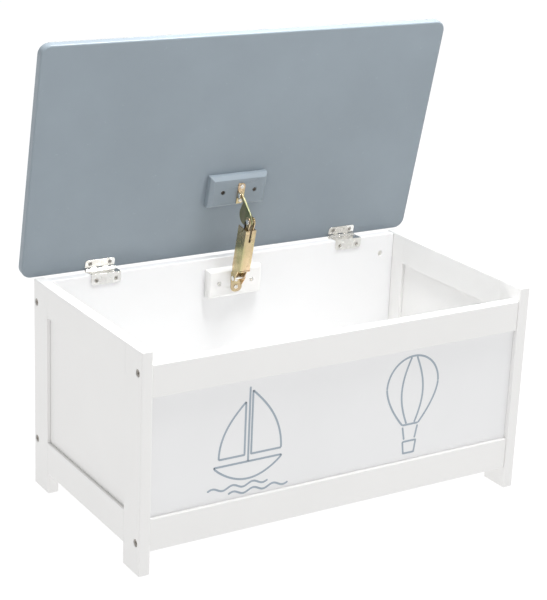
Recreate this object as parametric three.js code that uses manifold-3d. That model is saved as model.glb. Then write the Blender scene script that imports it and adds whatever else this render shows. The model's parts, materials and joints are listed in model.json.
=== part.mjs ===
// A free-standing wooden toy box with a hinged lid and a spring lid stay.
// Millimetres, +Z up. The origin is on the floor, under the middle of the box's
// outer size with the lid open. The front of the box faces -Y.
import * as THREE from 'three';
import { RoundedBoxGeometry } from 'three/addons/geometries/RoundedBoxGeometry.js';
import { mergeVertices } from 'three/addons/utils/BufferGeometryUtils.js';
import Module from 'manifold-3d';

const wasm = await Module();
wasm.setup();

// ---- Driving dimensions ----

const GAP = 0.3; // between any two pieces that meet

// Box
const BOX_WIDTH = 750;
const BOX_DEPTH = 396.5;
const BOX_HEIGHT = 376;
const END_THICK = 20;
const POST_WIDTH = 54;
const RAIL_LOW = 39; // underside of the bottom rails above the floor
const LOW_RAIL_TOP = 95;
const END_RAIL_UNDERSIDE = 322;
const FRONT_RAIL_UNDERSIDE = 298;
const FRONT_RAIL_TOP = 352;
const FRONT_RAIL_THICK = 19;
const FRONT_SETBACK = 2.8;
const BACK_THICK = 18;
const BACK_SETBACK = 2.5;
const BACK_UNDERSIDE = 51;
const BACK_TOP = 373.5;
const END_PANEL_THICK = 8;
const FRONT_PANEL_THICK = 6;
const FRONT_PANEL_RECESS = 7;
const PANEL_ENTRY = 7; // how far a panel goes into its groove
const FLOOR_THICK = 9;
const FLOOR_UNDERSIDE = 68;
const FLOOR_ENTRY = 6;
const EDGE_ROUND = 2.5;
const OPENING_CHAMFER = 1.4;

// Cross bolts and barrel nuts
const BOLT_HEAD_RADIUS = 6.4;
const BOLT_HEAD_DEPTH = 4;
const BOLT_SHANK_RADIUS = 3;
const BOLT_LENGTH = 55;
const BOLT_SINK = 0.8;
const SOCKET_RADIUS = 2.6;
const NUT_HOLE_RADIUS = 5.3;
const NUT_INSET = 29; // barrel nut axis from the inner face of the end frame
const NUT_HOLE_DEPTH = 15;
const FRONT_BOLT_HEIGHTS = [55, 339];
const BACK_BOLT_HEIGHTS = [87.5, 337];

// Lid and hinges
const LID_WIDTH = 790;
const LID_DEPTH = 419.4;
const LID_THICK = 16;
const LID_CORNER = 19;
const LID_EDGE_ROUND = 3;
const LID_OPEN_ANGLE = THREE.MathUtils.degToRad(77.6);
const HINGE_Y = 399.5;
const HINGE_Z = 374.5;
const LID_RISE = 4.2; // lid underside above the hinge axis when closed
const LID_TAIL = 1.8; // lid rear edge behind the hinge axis when closed
const HINGE_SPACING = 500;
const HINGE_WIDTH = 56;
const LEAF_THICK = 1.4;
const LEAF_REACH = 19;
const LEAF_DROP = 19;
const LEAF_CORNER = 5;
const KNUCKLE_RADIUS = 3.8;
const KNUCKLES = 5;
const PIN_RADIUS = 1.6;
const LEAF_SCREW_SPACING = 37;
const LEAF_SCREW_LENGTH = 12;
const LEAF_SCREW_INSET = 7.5; // from the edge of the leaf
const LEAF_HOLE_RADIUS = 3.8;

// Screw holes
const SIDES_OF_A_HOLE = 12;
const LEAF_PILOT = { radius: 1.8, boxDepth: 13, lidDepth: 11 };
const SCREW_PILOT_RADIUS = 2.1;
const BRACKET_PILOT_DEPTH = 13;
const BLOCK_PILOT = { backDepth: 14, lidDepth: 12.5 };
const COUNTERBORE = { radius: 4.1, depth: 2.9 };
const BLOCK_SCREW = { sink: 0.4, backLength: 28, lidLength: 27, shank: 1.8 };
const BRACKET_SCREW_LENGTH = 14;

// Blocks that carry the lid stay
const BACK_BLOCK = { width: 110, low: 303, high: 355, thick: 14, chamfer: 4, screwSpacing: 66 };
const LID_BLOCK = { width: 115, near: 100, far: 159, thick: 16, chamfer: 6, screwSpacing: 64 };

// Lid stay: three pivots, given at rest in the plane across the box
const LOWER_PIVOT = { y: 353.5, z: 339 };
const ELBOW_PIVOT = { y: 318, z: 452 };
const UPPER_PIVOT = { y: 353.2, z: 490.6 };
const UPPER_PIVOT_PLAY = 1.35; // how far the arm and the upper rivet part as the lid moves
const RIVET_RADIUS = 2.5;
const UPPER_RIVET_RADIUS = 2.2;
const RIVET_HEAD_RADIUS = 4.6;
const RIVET_HEAD_THICK = 1.2;
const SHEET = 1.5; // sheet steel of the brackets and the housing
const LOWER_PLATE = { low: 311, high: 349, left: -10, corner: 9, screwHeights: [320.5, 334] };
const LOWER_FLANGE = { low: 10.8, high: 12.3, radius: 6, rootLow: 320, rootHigh: 349 };
const UPPER_PLATE = { near: 106, far: 146, right: 11, corner: 7, screwsBehind: [139.5, 113] };
const UPPER_FLANGE = { low: -3.4, high: -1.9, radius: 6, rootFar: 9.4, rootNear: 8 };
const UPPER_SCREW_X = 3.8;
const FOOT_EAR = 5.4;
const FOOT_WEB = { front: -9, frontTop: 4, backTop: 8 };
const SLOT = { low: 59, half: 1.9 };
const HOUSING = { foot: { y: 344.2, z: 358.5 }, tilt: Math.atan2(17.4, 79), width: 21, depth: 27, length: 83 };
const YOKE = { half: 5.7, low: 45, webHigh: 57, back: 1.5, ear: 8.5 };
const ARM = { low: -1.4, high: 1.4, slope: THREE.MathUtils.degToRad(44.4), front: 9.9, end: 5.4, boss: 6.5 };
const LOBE = { along: 18, across: -9, radius: 16.5 }; // from the elbow, along the arm and towards its front
const ARM_BACK = [[-4, -5], [12, -20], [32.5, -17], [35.5, -6], [37.5, 0], [39, 2.5], [42, 3.2]];
const ARM_NOSE = [[7, 9.9], [-2, 6.2]]; // both outlines in the same two directions as the lobe
const SPRING = { radius: 6, wire: 0.9, turns: 5, low: 4, high: 30 };

const OVERALL_DEPTH = 418.97; // front of the posts to the back of the open lid

// ---- Materials ----

const FINISH = {
  whitePaint: { color: 0xe9e8e5, roughness: 0.45, metalness: 0 },
  greyPaint: { color: 0x8c97a0, roughness: 0.5, metalness: 0 },
  nickel: { color: 0xc9c7c2, roughness: 0.28, metalness: 1 },
  yellowZinc: { color: 0xb9a273, roughness: 0.35, metalness: 1 },
  darkSteel: { color: 0x3c3a38, roughness: 0.4, metalness: 1 },
  springSteel: { color: 0x8f8d88, roughness: 0.35, metalness: 1 },
  moulded: { color: 0x2b2b2d, roughness: 0.5, metalness: 0 },
};

// ---- Solids ----

// Shapes are drawn in a (u, v) plane and carried along w. For each axis w the
// plane is the next two axes in turn: x has (y, z), y has (z, x), z has (x, y).
const TURN = {
  x: new THREE.Matrix4().makeBasis(
    new THREE.Vector3(0, 1, 0), new THREE.Vector3(0, 0, 1), new THREE.Vector3(1, 0, 0)),
  y: new THREE.Matrix4().makeBasis(
    new THREE.Vector3(0, 0, 1), new THREE.Vector3(1, 0, 0), new THREE.Vector3(0, 1, 0)),
  z: new THREE.Matrix4(),
};

function solid(geometry) {
  const bare = geometry.clone();
  bare.deleteAttribute('normal');
  bare.deleteAttribute('uv');
  const merged = mergeVertices(bare, 1e-4);
  return new wasm.Manifold(new wasm.Mesh({
    numProp: 3,
    vertProperties: merged.attributes.position.array,
    triVerts: Uint32Array.from(merged.index.array),
  }));
}

function join(...parts) {
  return parts.reduce((sum, part) => sum.add(part));
}

function cut(body, ...tools) {
  return tools.reduce((rest, tool) => rest.subtract(tool), body);
}

// Six-sided block along an axis, with rectangle a at its low end and b at its high end.
function taper(axis, low, high, a, b) {
  const geometry = new THREE.BoxGeometry(1, 1, 1);
  const position = geometry.attributes.position;
  for (let i = 0; i < position.count; i += 1) {
    const atLow = position.getZ(i) < 0;
    const end = atLow ? a : b;
    const u = position.getX(i) < 0 ? end[0] : end[1];
    const v = position.getY(i) < 0 ? end[2] : end[3];
    position.setXYZ(i, u, v, atLow ? low : high);
  }
  return solid(geometry.applyMatrix4(TURN[axis]));
}

// Square-edged block between two x, two y and two z values, in any order.
function slab(xa, xb, ya, yb, za, zb) {
  const sides = [Math.min(ya, yb), Math.max(ya, yb), Math.min(za, zb), Math.max(za, zb)];
  return taper('x', Math.min(xa, xb), Math.max(xa, xb), sides, sides);
}

// Block with every edge rounded.
function softSlab(xa, xb, ya, yb, za, zb, radius) {
  const size = [Math.abs(xb - xa), Math.abs(yb - ya), Math.abs(zb - za)];
  const geometry = new RoundedBoxGeometry(...size, 2, radius);
  geometry.translate((xa + xb) / 2, (ya + yb) / 2, (za + zb) / 2);
  return solid(geometry);
}

// Round bar or cone along an axis, centred on (u, v).
function rod(axis, u, v, low, high, lowRadius, highRadius = lowRadius, sides = 18) {
  const geometry = new THREE.CylinderGeometry(highRadius, lowRadius, high - low, sides);
  geometry.rotateX(Math.PI / 2);
  geometry.translate(u, v, (low + high) / 2);
  return solid(geometry.applyMatrix4(TURN[axis]));
}

// Straight hole for a screw, to be cut from a piece.
function hole(axis, u, v, low, high, radius = SCREW_PILOT_RADIUS) {
  return rod(axis, u, v, low, high, radius, radius, SIDES_OF_A_HOLE);
}

// Turned piece along an axis, centred on (u, v). The profile is [radius, height] pairs that start
// and end on the axis, with height measured from w = origin in direction d.
function turned(axis, u, v, origin, d, profile, sides = 12) {
  const points = profile.map(([radius, height]) => new THREE.Vector2(radius, origin + d * height));
  if (d < 0) points.reverse();
  const geometry = new THREE.LatheGeometry(points, sides);
  geometry.rotateX(Math.PI / 2);
  geometry.translate(u, v, 0);
  return solid(geometry.applyMatrix4(TURN[axis]));
}

// Flat outline carried along an axis.
function plate(axis, shape, low, high) {
  const geometry = new THREE.ExtrudeGeometry(shape, {
    depth: high - low,
    bevelEnabled: false,
    curveSegments: 6,
  });
  geometry.translate(0, 0, low);
  return solid(geometry.applyMatrix4(TURN[axis]));
}

function polygon(points) {
  return new THREE.Shape(points.map(([u, v]) => new THREE.Vector2(u, v)));
}

// Rectangle whose corners have the radii [low u low v, high u low v, high u high v, low u high v].
function roundedRectangle(u0, u1, v0, v1, [a, b, c, d]) {
  const shape = new THREE.Shape();
  shape.moveTo(u0 + a, v0);
  shape.lineTo(u1 - b, v0);
  if (b > 0) shape.absarc(u1 - b, v0 + b, b, -Math.PI / 2, 0);
  shape.lineTo(u1, v1 - c);
  if (c > 0) shape.absarc(u1 - c, v1 - c, c, 0, Math.PI / 2);
  shape.lineTo(u0 + d, v1);
  if (d > 0) shape.absarc(u0 + d, v1 - d, d, Math.PI / 2, Math.PI);
  shape.lineTo(u0, v0 + a);
  if (a > 0) shape.absarc(u0 + a, v0 + a, a, Math.PI, Math.PI * 1.5);
  return shape;
}

// Adds a finished piece to a group as a named mesh.
function addPiece(group, name, body, finish) {
  const { vertProperties, triVerts } = body.getMesh();
  const geometry = new THREE.BufferGeometry();
  geometry.setAttribute('position', new THREE.BufferAttribute(vertProperties, 3));
  geometry.setIndex(new THREE.BufferAttribute(triVerts, 1));
  geometry.computeVertexNormals();
  const mesh = new THREE.Mesh(geometry, new THREE.MeshStandardMaterial(FINISH[finish]));
  mesh.name = name;
  group.add(mesh);
  return mesh;
}

const SIDES = [['left', -1], ['right', 1]];

// x of a plane a given distance inwards from the outer face of an end frame
function inwards(side, distance) {
  return side * (BOX_WIDTH / 2 - distance);
}

// ---- End frames ----

const frontBoltY = FRONT_SETBACK + FRONT_RAIL_THICK / 2;
const backBoltY = BOX_DEPTH - BACK_SETBACK - BACK_THICK / 2;
const BOLTS = [
  ...FRONT_BOLT_HEIGHTS.map((z, i) => ({ name: `front_${i ? 'upper' : 'lower'}`, y: frontBoltY, z })),
  ...BACK_BOLT_HEIGHTS.map((z, i) => ({ name: `rear_${i ? 'upper' : 'lower'}`, y: backBoltY, z })),
];

const opening = {
  y0: POST_WIDTH,
  y1: BOX_DEPTH - POST_WIDTH,
  z0: LOW_RAIL_TOP,
  z1: END_RAIL_UNDERSIDE,
};

function endFrameBlank(side) {
  const outer = inwards(side, 0);
  const inner = inwards(side, END_THICK);
  const { y0, y1, z0, z1 } = opening;
  const c = OPENING_CHAMFER;
  const exact = [y0, y1, z0, z1];
  const wide = [y0 - c, y1 + c, z0 - c, z1 + c];
  const tight = [y0 + c, y1 - c, z0 + c, z1 - c];
  const low = Math.min(outer, inner);
  const high = Math.max(outer, inner);
  const middle = (low + high) / 2;
  const recess = (END_THICK - END_PANEL_THICK) / 2 - GAP;
  const floorTop = FLOOR_UNDERSIDE + FLOOR_THICK;
  const frontPanelFront = FRONT_SETBACK + FRONT_PANEL_RECESS;
  let blank = softSlab(outer, inner, 0, BOX_DEPTH, 0, BOX_HEIGHT, EDGE_ROUND);
  blank = cut(
    blank,
    slab(outer, inner, y0, y1, z0, z1),
    taper('x', low - c, low + c, [wide[0] - c, wide[1] + c, wide[2] - c, wide[3] + c], tight),
    taper('x', high - c, high + c, tight, [wide[0] - c, wide[1] + c, wide[2] - c, wide[3] + c]),
    slab(outer, inner, y0, y1, -1, RAIL_LOW),
    // groove round the opening for the end panel and the rails' tongues
    slab(low + recess, high - recess, y0 - PANEL_ENTRY - GAP, y1 + PANEL_ENTRY + GAP,
      z0 - PANEL_ENTRY - GAP, z1 + PANEL_ENTRY + GAP),
    // grooves for the floor and the front panel
    slab(inner, inwards(side, END_THICK - FLOOR_ENTRY - GAP),
      FRONT_SETBACK + FRONT_RAIL_THICK - FLOOR_ENTRY - GAP,
      BOX_DEPTH - BACK_SETBACK - BACK_THICK + FLOOR_ENTRY + GAP,
      FLOOR_UNDERSIDE - GAP, floorTop + GAP),
    slab(inner, inwards(side, END_THICK - PANEL_ENTRY - GAP),
      frontPanelFront - GAP, frontPanelFront + FRONT_PANEL_THICK + GAP,
      LOW_RAIL_TOP - PANEL_ENTRY - GAP, FRONT_RAIL_UNDERSIDE + PANEL_ENTRY + GAP),
  );
  for (const bolt of BOLTS) {
    const sink = inwards(side, BOLT_SINK + BOLT_HEAD_DEPTH + GAP);
    const mouth = side * (BOX_WIDTH / 2 + 1);
    const headRadius = BOLT_HEAD_RADIUS + GAP;
    const shankRadius = BOLT_SHANK_RADIUS + GAP;
    blank = cut(
      blank,
      rod('x', bolt.y, bolt.z, Math.min(sink, mouth), Math.max(sink, mouth), headRadius),
      rod('x', bolt.y, bolt.z, low - 1, high + 1, shankRadius),
    );
  }
  return { blank, middle };
}

function addEndFrame(group, label, side) {
  const { blank, middle } = endFrameBlank(side);
  const { y0, y1, z0, z1 } = opening;
  const outer = side * (BOX_WIDTH / 2 + 1);
  const inner = inwards(side, END_THICK + 1);
  const seam = GAP / 2;
  const region = (ya, yb, za, zb) => slab(outer, inner, ya, yb, za, zb);
  const pieces = [
    ['front_post', region(-1, y0 - seam, -1, BOX_HEIGHT + 1)],
    ['rear_post', region(y1 + seam, BOX_DEPTH + 1, -1, BOX_HEIGHT + 1)],
    ['bottom_rail', region(y0 + seam, y1 - seam, RAIL_LOW - 1, z0 + 5)],
    ['top_rail', region(y0 + seam, y1 - seam, z1 - 5, BOX_HEIGHT + 1)],
  ];
  const half = END_PANEL_THICK / 2;
  for (const [name, box] of pieces) {
    addPiece(group, `${label}_${name}`, blank.intersect(box), 'whitePaint');
  }
  const panel = slab(middle - half, middle + half, y0 - PANEL_ENTRY, y1 + PANEL_ENTRY,
    z0 - PANEL_ENTRY, z1 + PANEL_ENTRY);
  addPiece(group, `${label}_end_panel`, panel, 'whitePaint');
}

// ---- Front, back and floor ----

// Holes in one end of a rail or the back panel for a bolt and its barrel nut.
function boltHoles(y, z, side, nutFace, nutBottom) {
  const end = inwards(side, END_THICK - 1);
  const bottom = inwards(side, BOLT_SINK + BOLT_LENGTH + 3);
  const nutX = inwards(side, END_THICK + NUT_INSET);
  return [
    rod('x', y, z, Math.min(end, bottom), Math.max(end, bottom), BOLT_SHANK_RADIUS + GAP),
    rod('y', z, nutX, Math.min(nutFace, nutBottom), Math.max(nutFace, nutBottom), NUT_HOLE_RADIUS),
  ];
}

function addFront(group) {
  const front = FRONT_SETBACK;
  const back = front + FRONT_RAIL_THICK;
  const halfLength = BOX_WIDTH / 2 - END_THICK - GAP;
  const panelFront = front + FRONT_PANEL_RECESS;
  const panelBack = panelFront + FRONT_PANEL_THICK;
  const panelLow = LOW_RAIL_TOP - PANEL_ENTRY;
  const panelHigh = FRONT_RAIL_UNDERSIDE + PANEL_ENTRY;
  const grooves = [
    slab(-halfLength - 1, halfLength + 1, panelFront - GAP, panelBack + GAP, panelLow - GAP, panelHigh + GAP),
    slab(-halfLength - 1, halfLength + 1, back - FLOOR_ENTRY - GAP, back + 1,
      FLOOR_UNDERSIDE - GAP, FLOOR_UNDERSIDE + FLOOR_THICK + GAP),
  ];
  const rails = [
    ['front_bottom_rail', RAIL_LOW, LOW_RAIL_TOP, FRONT_BOLT_HEIGHTS[0]],
    ['front_top_rail', FRONT_RAIL_UNDERSIDE, FRONT_RAIL_TOP, FRONT_BOLT_HEIGHTS[1]],
  ];
  for (const [name, low, high, boltZ] of rails) {
    const long = softSlab(-halfLength - 20, halfLength + 20, front, back, low, high, 2);
    const body = long.intersect(slab(-halfLength, halfLength, front - 1, back + 1, low - 1, high + 1));
    const holes = SIDES.flatMap(([, side]) => (
      boltHoles(frontBoltY, boltZ, side, back + 1, back - NUT_HOLE_DEPTH)));
    addPiece(group, name, cut(body, ...grooves, ...holes), 'whitePaint');
  }
  const reach = BOX_WIDTH / 2 - END_THICK + PANEL_ENTRY;
  addPiece(group, 'front_panel',
    slab(-reach, reach, panelFront, panelBack, panelLow, panelHigh), 'whitePaint');
}

const backInner = BOX_DEPTH - BACK_SETBACK - BACK_THICK;

function addBackAndFloor(group) {
  const rear = backInner + BACK_THICK;
  const halfLength = BOX_WIDTH / 2 - END_THICK - GAP;
  const long = softSlab(-halfLength - 20, halfLength + 20, backInner, rear, BACK_UNDERSIDE, BACK_TOP, 1.5);
  let back = long.intersect(slab(-halfLength, halfLength, backInner - 1, rear + 1, 0, BOX_HEIGHT));
  for (const [, side] of SIDES) {
    for (const z of BACK_BOLT_HEIGHTS) {
      back = cut(back, ...boltHoles(backBoltY, z, side, backInner - 1, backInner + NUT_HOLE_DEPTH));
    }
  }
  back = cut(back, slab(-halfLength - 1, halfLength + 1, backInner - 1, backInner + FLOOR_ENTRY + GAP,
    FLOOR_UNDERSIDE - GAP, FLOOR_UNDERSIDE + FLOOR_THICK + GAP));
  for (const x of hingeScrewXs()) {
    back = cut(back, hole('y', boxLeafScrewZ, x, backInner - 1, backInner + LEAF_PILOT.boxDepth,
      LEAF_PILOT.radius));
  }
  for (const x of [-BACK_BLOCK.screwSpacing / 2, BACK_BLOCK.screwSpacing / 2]) {
    back = cut(back, hole('y', backBlockZ, x, backInner - 1, backInner + BLOCK_PILOT.backDepth));
  }
  addPiece(group, 'back_panel', back, 'whitePaint');

  const frontRailBack = FRONT_SETBACK + FRONT_RAIL_THICK;
  const reach = BOX_WIDTH / 2 - END_THICK + FLOOR_ENTRY;
  addPiece(group, 'floor_panel',
    slab(-reach, reach, frontRailBack - FLOOR_ENTRY, backInner + FLOOR_ENTRY,
      FLOOR_UNDERSIDE, FLOOR_UNDERSIDE + FLOOR_THICK), 'whitePaint');
}

function addBolts(group) {
  for (const [label, side] of SIDES) {
    for (const { name, y, z } of BOLTS) {
      const face = inwards(side, BOLT_SINK);
      const socket = inwards(side, BOLT_SINK + BOLT_HEAD_DEPTH * 0.6);
      const body = cut(
        turned('x', y, z, face, -side, [
          [0, 0], [BOLT_HEAD_RADIUS - 0.6, 0], [BOLT_HEAD_RADIUS, 0.6], [BOLT_HEAD_RADIUS, BOLT_HEAD_DEPTH],
          [BOLT_SHANK_RADIUS, BOLT_HEAD_DEPTH], [BOLT_SHANK_RADIUS, BOLT_LENGTH], [0, BOLT_LENGTH],
        ]),
        rod('x', y, z, Math.min(face + side, socket), Math.max(face + side, socket),
          SOCKET_RADIUS, SOCKET_RADIUS, 6),
      );
      addPiece(group, `${label}_${name}_bolt`, body, 'darkSteel');
    }
  }
}

// ---- Screws ----

// Countersunk screw. Its head's face is at w = face and it points in direction d.
function flatScrew(axis, u, v, face, d, length, shank = 1.5) {
  return turned(axis, u, v, face, d,
    [[0, 0], [shank + 2, 0], [shank + 1.8, 0.2], [shank, 1.6], [shank, length - 3], [0, length]]);
}

// Pan-head screw, with its bearing face at w = seat.
function panScrew(axis, u, v, seat, d, length, shank = 1.8) {
  return turned(axis, u, v, seat, d,
    [[0, -2], [2.4, -1.9], [3.7, -1], [3.7, 0], [shank, 0], [shank, length - 3], [0, length]]);
}

// ---- Hinges ----

const boxLeafTop = BACK_TOP + GAP + LEAF_THICK;
const boxLeafFront = backInner - GAP - LEAF_THICK;
const boxLeafScrewZ = boxLeafTop - LEAF_DROP + LEAF_SCREW_INSET;
const lidLeafScrewY = -LEAF_REACH + LEAF_SCREW_INSET; // from the hinge axis, lid closed

function hingeScrewXs() {
  return SIDES.flatMap(([, side]) => [-1, 1].map((end) => (
    side * HINGE_SPACING / 2 + end * LEAF_SCREW_SPACING / 2)));
}

// The barrel segments of one leaf, around an axis at (y, z).
function knuckles(centreX, y, z, first) {
  const pitch = HINGE_WIDTH / KNUCKLES;
  const parts = [];
  for (let i = first; i < KNUCKLES; i += 2) {
    const low = centreX - HINGE_WIDTH / 2 + i * pitch + GAP / 2;
    parts.push({ low, high: low + pitch - GAP });
  }
  return parts.map(({ low, high }) => (
    { low, high, body: rod('x', y, z, low, high, KNUCKLE_RADIUS) }));
}

// Box leaf: from the barrel forwards over the back panel's top edge and down its inner face.
function boxLeaf(centreX) {
  const left = centreX - HINGE_WIDTH / 2;
  const right = centreX + HINGE_WIDTH / 2;
  const clearOfBarrel = HINGE_Y - KNUCKLE_RADIUS - 0.5;
  const top = slab(left, right, boxLeafFront, clearOfBarrel, boxLeafTop - LEAF_THICK, boxLeafTop);
  const drop = plate('y',
    roundedRectangle(boxLeafTop - LEAF_DROP, boxLeafTop, left, right, [LEAF_CORNER, 0, 0, LEAF_CORNER]),
    boxLeafFront, boxLeafFront + LEAF_THICK);
  const barrel = knuckles(centreX, HINGE_Y, HINGE_Z, 0);
  const tongues = barrel.map(({ low, high }) => (
    slab(low, high, clearOfBarrel - 1, HINGE_Y, boxLeafTop - LEAF_THICK, boxLeafTop)));
  const screwHoles = [-1, 1].map((end) => rod('y', boxLeafScrewZ,
    centreX + end * LEAF_SCREW_SPACING / 2, boxLeafFront - 1, backInner, LEAF_HOLE_RADIUS, LEAF_HOLE_RADIUS, 16));
  return cut(
    join(top, drop, ...tongues, ...barrel.map(({ body }) => body)),
    rod('x', HINGE_Y, HINGE_Z, left - 1, right + 1, PIN_RADIUS + GAP, PIN_RADIUS + GAP, 16),
    ...screwHoles,
  );
}

// Lid leaf, about the hinge axis with the lid closed: flat against the lid's underside.
function lidLeaf(centreX) {
  const left = centreX - HINGE_WIDTH / 2;
  const right = centreX + HINGE_WIDTH / 2;
  const high = LID_RISE - GAP;
  const low = high - LEAF_THICK;
  const clearOfBarrel = -KNUCKLE_RADIUS - 0.6;
  const leaf = plate('z',
    roundedRectangle(left, right, -LEAF_REACH, clearOfBarrel, [LEAF_CORNER, LEAF_CORNER, 0, 0]), low, high);
  const barrel = knuckles(centreX, 0, 0, 1);
  const tongues = barrel.map((part) => slab(part.low, part.high, clearOfBarrel - 1, 0, low, high - 0.1));
  const screwHoles = [-1, 1].map((end) => rod('z',
    centreX + end * LEAF_SCREW_SPACING / 2, lidLeafScrewY, low - 1, high + 1,
    LEAF_HOLE_RADIUS, LEAF_HOLE_RADIUS, 16));
  return cut(
    join(leaf, ...tongues, ...barrel.map(({ body }) => body)),
    rod('x', 0, 0, left - 1, right + 1, PIN_RADIUS + GAP, PIN_RADIUS + GAP, 16),
    ...screwHoles,
  );
}

function addHinges(box, lid) {
  const leafUnderside = LID_RISE - GAP - LEAF_THICK;
  for (const [label, side] of SIDES) {
    const centreX = side * HINGE_SPACING / 2;
    const end = HINGE_WIDTH / 2 + 0.4;
    const pin = turned('x', HINGE_Y, HINGE_Z, centreX, 1, [
      [0, -end - 0.8], [2.2, -end - 0.8], [2.6, -end], [PIN_RADIUS, -end],
      [PIN_RADIUS, end], [2.6, end], [2.2, end + 0.8], [0, end + 0.8],
    ]);
    addPiece(box, `${label}_hinge_box_leaf`, boxLeaf(centreX), 'nickel');
    addPiece(box, `${label}_hinge_pin`, pin, 'nickel');
    addPiece(lid, `${label}_hinge_lid_leaf`, lidLeaf(centreX), 'nickel');
    for (const [where, step] of [['inner', -side], ['outer', side]]) {
      const x = centreX + step * LEAF_SCREW_SPACING / 2;
      addPiece(box, `${label}_hinge_${where}_box_screw`,
        flatScrew('y', boxLeafScrewZ, x, boxLeafFront, 1, LEAF_SCREW_LENGTH), 'nickel');
      addPiece(lid, `${label}_hinge_${where}_lid_screw`,
        flatScrew('z', x, lidLeafScrewY, leafUnderside, 1, LEAF_SCREW_LENGTH), 'nickel');
    }
  }
}

// ---- Lid ----

const lidBlockY = LID_TAIL - (LID_BLOCK.near + LID_BLOCK.far) / 2;
const lidBlockFace = LID_RISE - GAP - LID_BLOCK.thick;
const lidScrewHead = lidBlockFace + BLOCK_SCREW.sink;

// Block with its four far edges chamfered, between two planes of an axis.
function chamferedBlock(axis, seat, face, rectangle, chamfer) {
  const [u0, u1, v0, v1] = rectangle;
  const inner = [u0 + chamfer, u1 - chamfer, v0 + chamfer, v1 - chamfer];
  const shoulder = face + Math.sign(seat - face) * chamfer;
  if (seat > face) {
    const base = taper(axis, shoulder, seat, rectangle, rectangle);
    return join(base, taper(axis, face, shoulder, inner, rectangle));
  }
  const base = taper(axis, seat, shoulder, rectangle, rectangle);
  return join(base, taper(axis, shoulder, face, rectangle, inner));
}

function addLid(lid) {
  const inset = LID_EDGE_ROUND;
  const corner = LID_CORNER - inset;
  const outline = roundedRectangle(-LID_WIDTH / 2 + inset, LID_WIDTH / 2 - inset,
    LID_TAIL - LID_DEPTH + inset, LID_TAIL - inset, [corner, corner, corner, corner]);
  const board = new THREE.ExtrudeGeometry(outline, {
    depth: LID_THICK - 2 * inset,
    bevelSize: inset,
    bevelThickness: inset,
    bevelSegments: 3,
    curveSegments: 6,
  });
  board.translate(0, 0, LID_RISE + inset);
  const leafHoles = hingeScrewXs().map((x) => (
    hole('z', x, lidLeafScrewY, LID_RISE - 1, LID_RISE + LEAF_PILOT.lidDepth, LEAF_PILOT.radius)));
  const blockHoles = [-1, 1].map((end) => (
    hole('z', end * LID_BLOCK.screwSpacing / 2, lidBlockY, LID_RISE - 1, LID_RISE + BLOCK_PILOT.lidDepth)));
  addPiece(lid, 'lid', cut(solid(board), ...leafHoles, ...blockHoles), 'greyPaint');

  const half = LID_BLOCK.width / 2;
  const rectangle = [-half, half, LID_TAIL - LID_BLOCK.far, LID_TAIL - LID_BLOCK.near];
  const holes = [-1, 1].flatMap((end) => {
    const x = end * LID_BLOCK.screwSpacing / 2;
    return [
      hole('z', x, lidBlockY, lidBlockFace - 1, LID_RISE),
      rod('z', x, lidBlockY, lidBlockFace - 1, lidBlockFace + COUNTERBORE.depth,
        COUNTERBORE.radius, COUNTERBORE.radius, 16),
    ];
  });
  const bracketHoles = upperScrewYs.map((y) => (
    hole('z', UPPER_SCREW_X, y, lidBlockFace - 1, lidBlockFace + BRACKET_PILOT_DEPTH)));
  const block = chamferedBlock('z', LID_RISE - GAP, lidBlockFace, rectangle, LID_BLOCK.chamfer);
  addPiece(lid, 'lid_block', cut(block, ...holes, ...bracketHoles), 'greyPaint');
  for (const [where, end] of SIDES) {
    const x = end * LID_BLOCK.screwSpacing / 2;
    addPiece(lid, `lid_block_${where}_screw`,
      flatScrew('z', x, lidBlockY, lidScrewHead, 1, BLOCK_SCREW.lidLength, BLOCK_SCREW.shank), 'darkSteel');
  }
}

// ---- Back block and lower bracket ----

const backBlockZ = (BACK_BLOCK.low + BACK_BLOCK.high) / 2;
const backBlockFace = backInner - GAP - BACK_BLOCK.thick;
const lowerPlateFront = backBlockFace - GAP - SHEET;

function addBackBlock(box) {
  const half = BACK_BLOCK.width / 2;
  const rectangle = [BACK_BLOCK.low, BACK_BLOCK.high, -half, half];
  const holes = [-1, 1].flatMap((end) => {
    const x = end * BACK_BLOCK.screwSpacing / 2;
    return [
      hole('y', backBlockZ, x, backBlockFace - 1, backInner),
      rod('y', backBlockZ, x, backBlockFace - 1, backBlockFace + COUNTERBORE.depth,
        COUNTERBORE.radius, COUNTERBORE.radius, 16),
    ];
  });
  const bracketHoles = LOWER_PLATE.screwHeights.map((z) => (
    hole('y', z, 0, backBlockFace - 1, backBlockFace + BRACKET_PILOT_DEPTH)));
  const block = chamferedBlock('y', backInner - GAP, backBlockFace, rectangle, BACK_BLOCK.chamfer);
  addPiece(box, 'stay_back_block', cut(block, ...holes, ...bracketHoles), 'whitePaint');
  for (const [where, end] of SIDES) {
    const x = end * BACK_BLOCK.screwSpacing / 2;
    const screw = flatScrew('y', backBlockZ, x, backBlockFace + BLOCK_SCREW.sink, 1,
      BLOCK_SCREW.backLength, BLOCK_SCREW.shank);
    addPiece(box, `back_block_${where}_screw`, screw, 'nickel');
  }
}

// A rivet along x that grips between two x values, with a domed head outside each.
function rivet({ y, z }, low, high, headHigh = RIVET_HEAD_RADIUS, shank = RIVET_RADIUS) {
  const grip = high - low;
  const head = RIVET_HEAD_THICK;
  return turned('x', y, z, low, 1, [
    [0, -head], [RIVET_HEAD_RADIUS * 0.7, -head], [RIVET_HEAD_RADIUS, -head * 0.4], [RIVET_HEAD_RADIUS, 0],
    [shank, 0], [shank, grip],
    [headHigh, grip], [headHigh, grip + head * 0.4], [headHigh * 0.7, grip + head], [0, grip + head],
  ]);
}

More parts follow.
